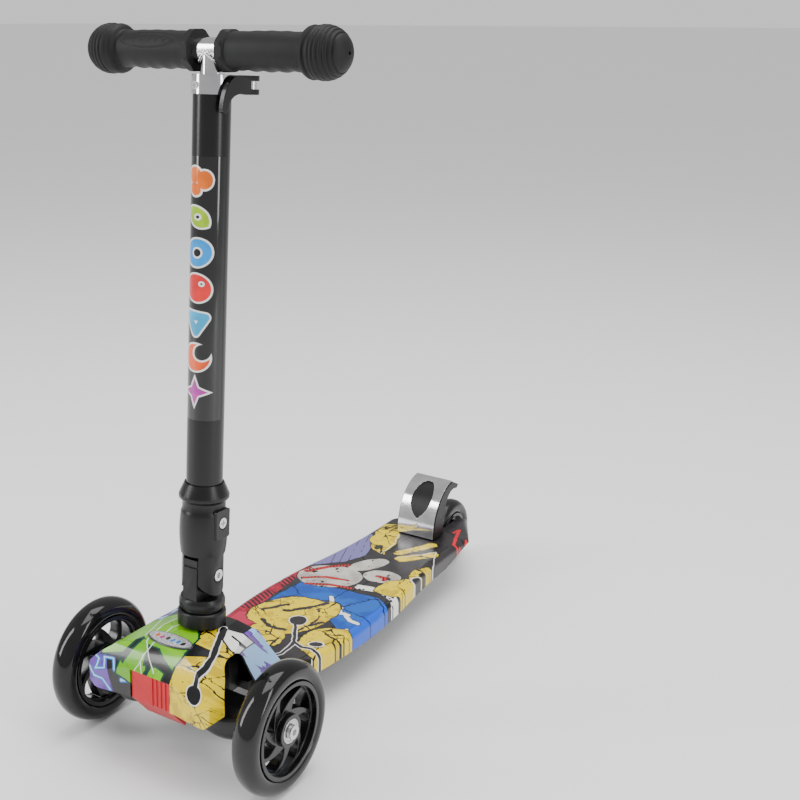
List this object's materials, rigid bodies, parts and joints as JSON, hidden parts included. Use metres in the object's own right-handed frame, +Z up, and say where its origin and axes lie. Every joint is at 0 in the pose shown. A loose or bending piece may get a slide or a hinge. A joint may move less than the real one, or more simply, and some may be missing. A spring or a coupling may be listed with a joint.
{
  "type": "kick scooter",
  "caption": "Three-wheeled kick scooter: moulded deck with rear foot brake, lean-to-steer front truck, folding stem and telescopic T-bar with ball-ended grips.",
  "frame": {"origin": "on the floor, in the left-right symmetry plane of the frame, at the middle of the overall length", "axes": "+Z up, -Y towards the front wheels, +X towards the side with the quick-release lever"},
  "size_m": [0.2748, 0.61, 0.6608],
  "materials": {
    "deck_shell": "satin moulded, glossy on the skirts",
    "deck_print": "satin film with a printed abstract pattern",
    "black_steel": "satin black paint",
    "zinc_steel": "bright zinc",
    "bush_rubber": "matte",
    "truck_plastic": "gloss black",
    "core_plastic": "gloss black with curved grooves",
    "smoke_tyre": "glossy smoky translucent",
    "black_tyre": "satin",
    "light_plastic": "clear, sealed in the tyre",
    "bearing_steel": "ground faces",
    "brake_plastic": "fine texture",
    "bright_plate": "polished",
    "joint_plastic": "satin",
    "black_alloy": "satin black coating",
    "black_tube": "satin black with a glossy printed sticker",
    "bright_clamp": "polished",
    "lever_plastic": "gloss black, grey inner face",
    "bright_tube": "polished",
    "grip_rubber": "matte with moulded rings",
    "cover_print": "glossy printed abstract pattern",
    "red_insert": "satin ribbed",
    "badge_plastic": "glitter under a clear dome"
  },
  "bodies": {
    "frame_body": {"deck": "deck_shell", "deck_ribs": "deck_shell", "deck_tread": "deck_print", "head_frame": "black_steel", "deck_bolts": "zinc_steel", "pivot_pin": "zinc_steel", "pivot_nut": "zinc_steel", "base_collar": "joint_plastic", "lower_knuckle": "black_alloy", "stem_bolt": "zinc_steel", "front_cover": "cover_print", "bumper_insert": "red_insert", "cover_badge": "badge_plastic", "rear_axle": "zinc_steel", "rear_axle_nut": "zinc_steel", "rear_axle_spacers": "zinc_steel", "brake_pin": "zinc_steel"},
    "truck_body": {"truck": "truck_plastic", "pivot_bushes": "bush_rubber", "front_axle_bolts": "zinc_steel", "front_axle_spacers": "zinc_steel"},
    "left_front_wheel": {"left_wheel_core": "core_plastic", "left_tyre": "smoke_tyre", "left_wheel_lights": "light_plastic", "left_wheel_bearings": "bearing_steel"},
    "right_front_wheel": {"right_wheel_core": "core_plastic", "right_tyre": "smoke_tyre", "right_wheel_lights": "light_plastic", "right_wheel_bearings": "bearing_steel"},
    "rear_wheel": {"rear_wheel_core": "core_plastic", "rear_tyre": "black_tyre", "rear_wheel_bearings": "bearing_steel"},
    "brake_body": {"brake_pedal": "brake_plastic", "brake_plate": "bright_plate", "brake_rivet": "zinc_steel"},
    "stem_body": {"upper_knuckle": "joint_plastic", "fold_bolt": "zinc_steel", "outer_tube": "black_tube", "top_bushing": "joint_plastic", "clamp": "bright_clamp", "clamp_screw": "zinc_steel", "clamp_bolt": "zinc_steel", "clamp_washer": "joint_plastic"},
    "sleeve_body": {"lock_sleeve": "joint_plastic", "sleeve_screw": "zinc_steel"},
    "lever_body": {"quick_release_lever": "lever_plastic", "lever_pin": "zinc_steel"},
    "bar_body": {"handlebar": "bright_tube", "bar_guide": "joint_plastic", "left_grip": "grip_rubber", "right_grip": "grip_rubber"}
  },
  "joints": [
    {"name": "truck_lean", "type": "hinge", "parent": "frame_body", "child": "truck_body", "pos_m": [0, -0.2425, 0.066], "axis": [0, -0.6428, 0.766], "range_deg": [-10, 10], "stiffness_Nm_per_rad": 20},
    {"name": "left_wheel_spin", "type": "hinge", "parent": "truck_body", "child": "left_front_wheel", "pos_m": [-0.1065, -0.245, 0.06], "axis": [1, 0, 0], "continuous": true},
    {"name": "right_wheel_spin", "type": "hinge", "parent": "truck_body", "child": "right_front_wheel", "pos_m": [0.1065, -0.245, 0.06], "axis": [1, 0, 0], "continuous": true},
    {"name": "rear_wheel_spin", "type": "hinge", "parent": "frame_body", "child": "rear_wheel", "pos_m": [0, 0.265, 0.04], "axis": [1, 0, 0], "continuous": true},
    {"name": "brake_press", "type": "hinge", "parent": "frame_body", "child": "brake_body", "pos_m": [0, 0.21, 0.05], "axis": [-1, 0, 0], "range_deg": [0, 6], "stiffness_Nm_per_rad": 5, "springref_deg": -5.73},
    {"name": "stem_fold", "type": "hinge", "parent": "frame_body", "child": "stem_body", "pos_m": [0, -0.21807, 0.16993], "axis": [-1, 0, 0], "range_deg": [0, 86]},
    {"name": "sleeve_lift", "type": "slide", "parent": "stem_body", "child": "sleeve_body", "axis": [0, 0.0541, 0.9985], "range_m": [0, 0.024]},
    {"name": "bar_height", "type": "slide", "parent": "stem_body", "child": "bar_body", "axis": [0, 0.0541, 0.9985], "range_m": [0, 0.2]},
    {"name": "lever_swing", "type": "hinge", "parent": "stem_body", "child": "lever_body", "pos_m": [0.018, -0.16278, 0.60834], "axis": [0, 0.0541, 0.9985], "range_deg": [0, 120]}
  ]
}
